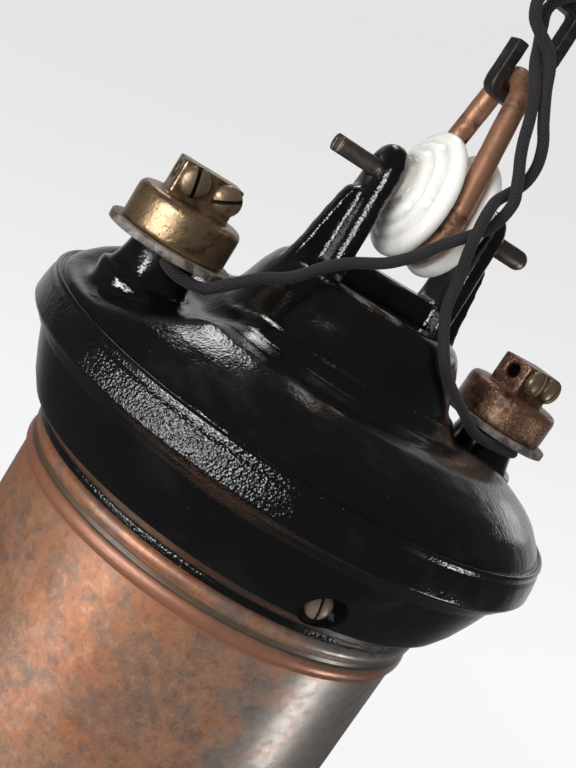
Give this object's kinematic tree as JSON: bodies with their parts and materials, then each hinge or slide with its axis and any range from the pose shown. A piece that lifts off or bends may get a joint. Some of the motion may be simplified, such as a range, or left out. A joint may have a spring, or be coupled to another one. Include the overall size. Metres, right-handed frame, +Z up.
{
  "type": "street lamp",
  "caption": "Suspended arc street lamp: cast cap with clevis and porcelain spool on a hanger loop, two wire terminals, copper case and glass globe.",
  "frame": {"origin": "centre of the eye at the top of the suspension hook", "axes": "+Z up along the lamp's axis, which hangs along -Z; +X to the right terminal, along the hanger pin; -Y to the side with the clamp screws and the cords"},
  "size_m": [0.225, 0.2248, 0.7894],
  "materials": {
    "forged_iron": "dark forged iron, worn and dull",
    "cloth": "black braided cotton",
    "rod_copper": "browned copper rod, soft sheen",
    "steel": "old steel, dull",
    "porcelain": "white glaze, glossy",
    "enamelled_iron": "black enamel over rough sand casting, glossy",
    "brass": "aged brass, satin",
    "bronze": "reddish aged bronze, satin",
    "fibre": "grey vulcanised fibre, mottled",
    "case_copper": "orange-brown copper sheet with mottled patina, satin",
    "core_iron": "soft iron, machined",
    "wire_copper": "cotton covered copper wire, shellacked",
    "resistance_wire": "oxidised resistance wire",
    "carbon": "baked carbon, matt",
    "clear_glass": "clear glass",
    "opal_glass": "lightly opal glass"
  },
  "bodies": {
    "hook": {"suspension_hook": "forged_iron", "cord_tie": "cloth"},
    "loop": {"hanger_loop": "rod_copper"},
    "lamp": {"hanger_pin": "steel", "top_cap": "enamelled_iron", "left_terminal": "brass", "right_terminal": "bronze", "terminal_washers": "fibre", "terminal_bushings": "porcelain", "terminal_studs": "brass", "terminal_nuts": "brass", "left_clamp_screws": "brass", "right_clamp_screws": "bronze", "copper_case": "case_copper", "case_screws": "bronze", "base_casting": "enamelled_iron", "side_rods": "steel", "rod_nuts": "steel", "top_plate": "fibre", "carbon_tube": "brass", "magnet_top_plate": "core_iron", "magnet_bottom_plate": "core_iron", "plate_nuts": "steel", "coil_bobbin": "brass", "coil_winding": "wire_copper", "dashpot_cylinder": "brass", "ballast_core": "porcelain", "ballast_wire": "resistance_wire", "ballast_bolt": "steel", "trip_bush": "brass", "gas_cap": "enamelled_iron", "frame_rods": "brass", "lower_yoke": "brass", "lower_holder": "brass", "lower_carbon": "carbon", "holder_screw": "steel", "inner_globe": "clear_glass", "outer_globe": "opal_glass", "globe_screws": "brass", "left_cord": "cloth", "right_cord": "cloth"},
    "spool": {"porcelain_spool": "porcelain"},
    "armature": {"armature": "core_iron", "lift_yoke": "brass", "clutch": "brass", "dashpot_piston": "steel"},
    "carbon": {"upper_carbon": "carbon", "carbon_cap": "brass"}
  },
  "joints": [
    {"name": "loop_swing", "type": "hinge", "parent": "hook", "child": "loop", "pos_m": [0, 0, -0.0572], "axis": [0, 1, 0], "range_deg": [-20, 20], "deforming": ["left_cord", "right_cord"]},
    {"name": "lamp_swing", "type": "hinge", "parent": "loop", "child": "lamp", "pos_m": [0, 0, -0.1126], "axis": [1, 0, 0], "range_deg": [-60, 60], "deforming": ["left_cord", "right_cord"]},
    {"name": "spool_spin", "type": "hinge", "parent": "lamp", "child": "spool", "pos_m": [0, 0, -0.1126], "axis": [1, 0, 0], "continuous": true},
    {"name": "armature_lift", "type": "slide", "parent": "lamp", "child": "armature", "axis": [0, 0, 1], "range_m": [0, 0.02]},
    {"name": "carbon_feed", "type": "slide", "parent": "armature", "child": "carbon", "axis": [0, 0, 1], "range_m": [0, 0.05]}
  ]
}
